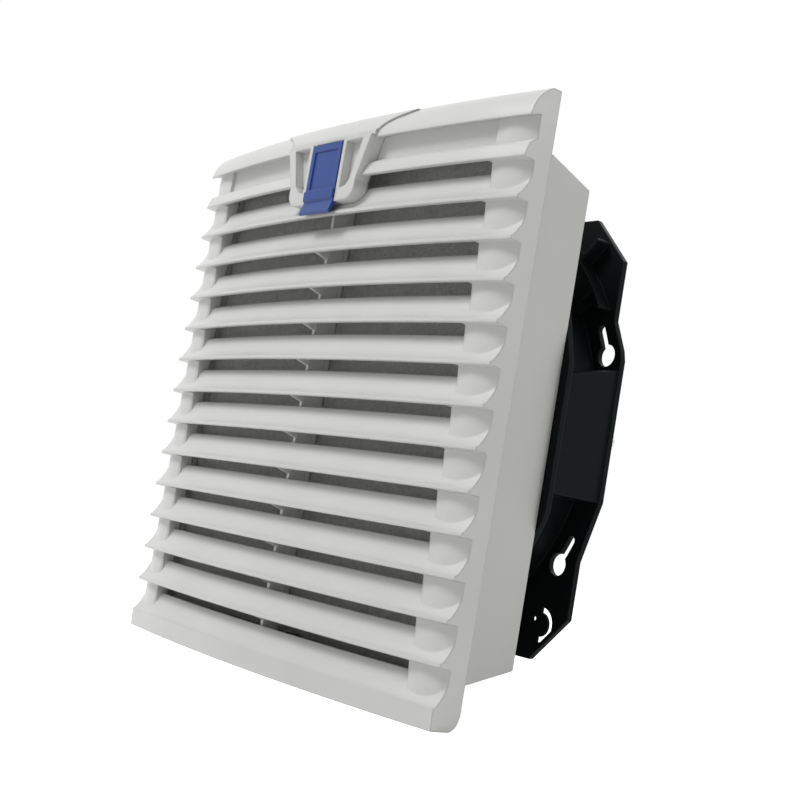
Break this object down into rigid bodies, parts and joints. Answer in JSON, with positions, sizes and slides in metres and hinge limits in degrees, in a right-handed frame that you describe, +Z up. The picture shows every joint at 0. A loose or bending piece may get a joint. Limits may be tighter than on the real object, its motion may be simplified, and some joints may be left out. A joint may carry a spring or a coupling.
{
  "type": "cabinet filter fan",
  "caption": "Square louvred cabinet filter fan: bowed slatted front that hinges down on a wall tub with filter mat, latch tab, and a keyhole-mounted axial fan behind.",
  "frame": {"origin": "middle of the square front, on the outer face of the cabinet panel that the gasket rests on", "axes": "+X to the right seen from the front, +Y into the cabinet, +Z up"},
  "size_m": [0.255, 0.1212, 0.255],
  "materials": {
    "tub_plastic": "satin light grey moulded plastic",
    "grille_plastic": "satin light grey moulded plastic",
    "tab_plastic": "satin blue moulded plastic",
    "fan_plastic": "satin black glass-filled plastic",
    "foam": "closed-cell foam",
    "mat_fibre": "non-woven chopped fibre mat",
    "steel": "zinc-plated",
    "core_steel": "dark lamination steel",
    "bell_steel": "black coated",
    "guard_wire": "black coated wire",
    "motor_alloy": "die-cast",
    "copper": "enamelled copper",
    "brass": "plated",
    "lead_sheath": "matt sheath"
  },
  "bodies": {
    "housing": {"housing_tub": "tub_plastic", "panel_gasket": "foam", "panel_clips": "steel", "filter_mat": "mat_fibre", "hinge_pins": "steel"},
    "grille": {"louvre_grille": "grille_plastic", "handle_frame": "grille_plastic", "latch_pin": "steel"},
    "latch": {"latch_tab": "tab_plastic"},
    "fan_unit": {"fan_frame": "fan_plastic", "finger_guard": "guard_wire", "guard_screws": "steel", "motor_base": "motor_alloy", "motor_screws": "steel", "stator_core": "core_steel", "stator_windings": "copper", "motor_bearings": "steel", "motor_lead": "lead_sheath", "terminal_box": "fan_plastic", "terminal_cover": "fan_plastic", "terminal_screws": "brass", "cover_screw": "steel"},
    "rotor": {"rotor_bell": "bell_steel", "rotor_cage": "motor_alloy", "rotor_shaft": "steel", "shaft_clip": "core_steel", "impeller": "fan_plastic"}
  },
  "joints": [
    {"name": "grille_hinge", "type": "hinge", "parent": "housing", "child": "grille", "pos_m": [0, -0.0065, -0.1215], "axis": [1, 0, 0], "range_deg": [0, 70]},
    {"name": "latch_pull", "type": "hinge", "parent": "grille", "child": "latch", "pos_m": [0, -0.0197, 0.1095], "axis": [-1, 0, 0], "range_deg": [0, 12], "stiffness_Nm_per_rad": 0.05},
    {"name": "bayonet_turn", "type": "hinge", "parent": "housing", "child": "fan_unit", "pos_m": [0, 0.06, -0.0015], "axis": [0, 1, 0], "range_deg": [0, 7]},
    {"name": "rotor_spin", "type": "hinge", "parent": "fan_unit", "child": "rotor", "pos_m": [0, 0.06, -0.0015], "axis": [0, 1, 0], "continuous": true}
  ]
}
